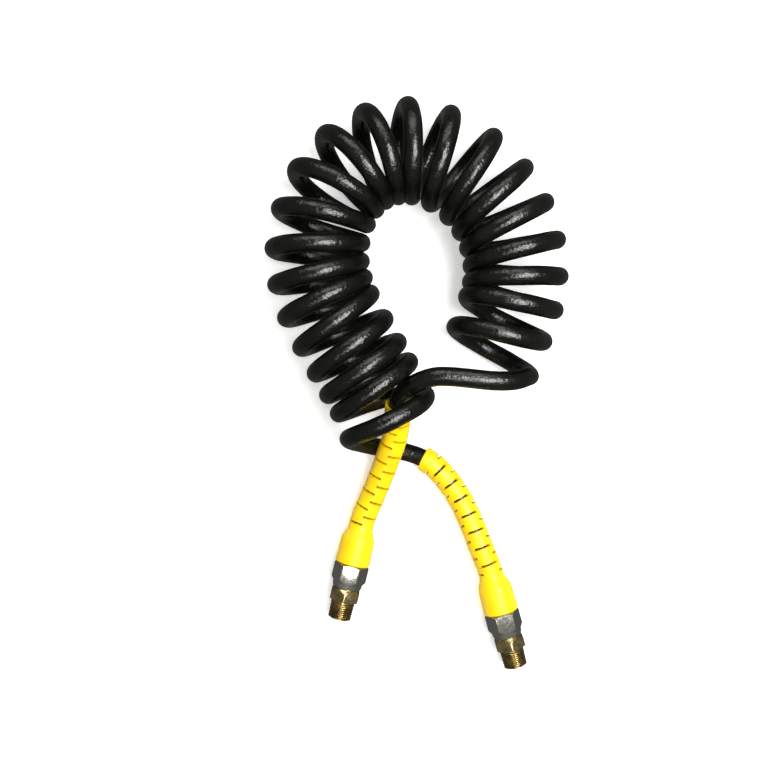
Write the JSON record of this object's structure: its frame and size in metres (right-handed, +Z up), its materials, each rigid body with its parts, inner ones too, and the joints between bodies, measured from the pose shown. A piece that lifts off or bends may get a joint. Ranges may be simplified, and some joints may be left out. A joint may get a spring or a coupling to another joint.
{
  "type": "coiled air hose",
  "caption": "Self-coiling polyurethane air hose with slotted bend-restrictor boots and swivelling hex pipe fittings on its two straight tails.",
  "frame": {"origin": "on the floor, in the middle of the box of the two boots and fittings, between the two tails", "axes": "+Z up; +Y from the fittings towards the coil; +X from the left fitting towards the right one"},
  "size_m": [0.2075, 0.3977, 0.072],
  "materials": {
    "hose": "glossy extruded polyurethane",
    "boot": "satin moulded elastomer",
    "plated_nut": "machined, bright zinc plate",
    "fitting_brass": "machined brass, slightly dulled",
    "ferrule": "crimped plated steel",
    "washer": "natural acetal",
    "seal": "moulded nitrile"
  },
  "bodies": {
    "hose": {"coil_section_1": "hose", "coil_section_2": "hose", "coil_section_3": "hose", "coil_section_4": "hose", "coil_section_5": "hose", "coil_section_6": "hose", "left_hose_tail": "hose", "left_boot": "boot", "left_hose_end": "hose", "left_ferrule": "ferrule", "left_stem": "fitting_brass", "left_thrust_washer": "washer", "left_o_ring": "seal", "right_hose_tail": "hose", "right_boot": "boot", "right_hose_end": "hose", "right_ferrule": "ferrule", "right_stem": "fitting_brass", "right_thrust_washer": "washer", "right_o_ring": "seal"},
    "left_swivel": {"left_nut": "plated_nut", "left_adapter": "fitting_brass"},
    "right_swivel": {"right_nut": "plated_nut", "right_adapter": "fitting_brass"}
  },
  "joints": [
    {"name": "left_swivel_turn", "type": "hinge", "parent": "hose", "child": "left_swivel", "pos_m": [-0.0534, -0.0218, 0.0128], "axis": [-0.2351, -0.972, 0], "continuous": true},
    {"name": "right_swivel_turn", "type": "hinge", "parent": "hose", "child": "right_swivel", "pos_m": [0.0525, -0.0559, 0.0128], "axis": [0.2605, -0.9655, 0], "continuous": true}
  ]
}
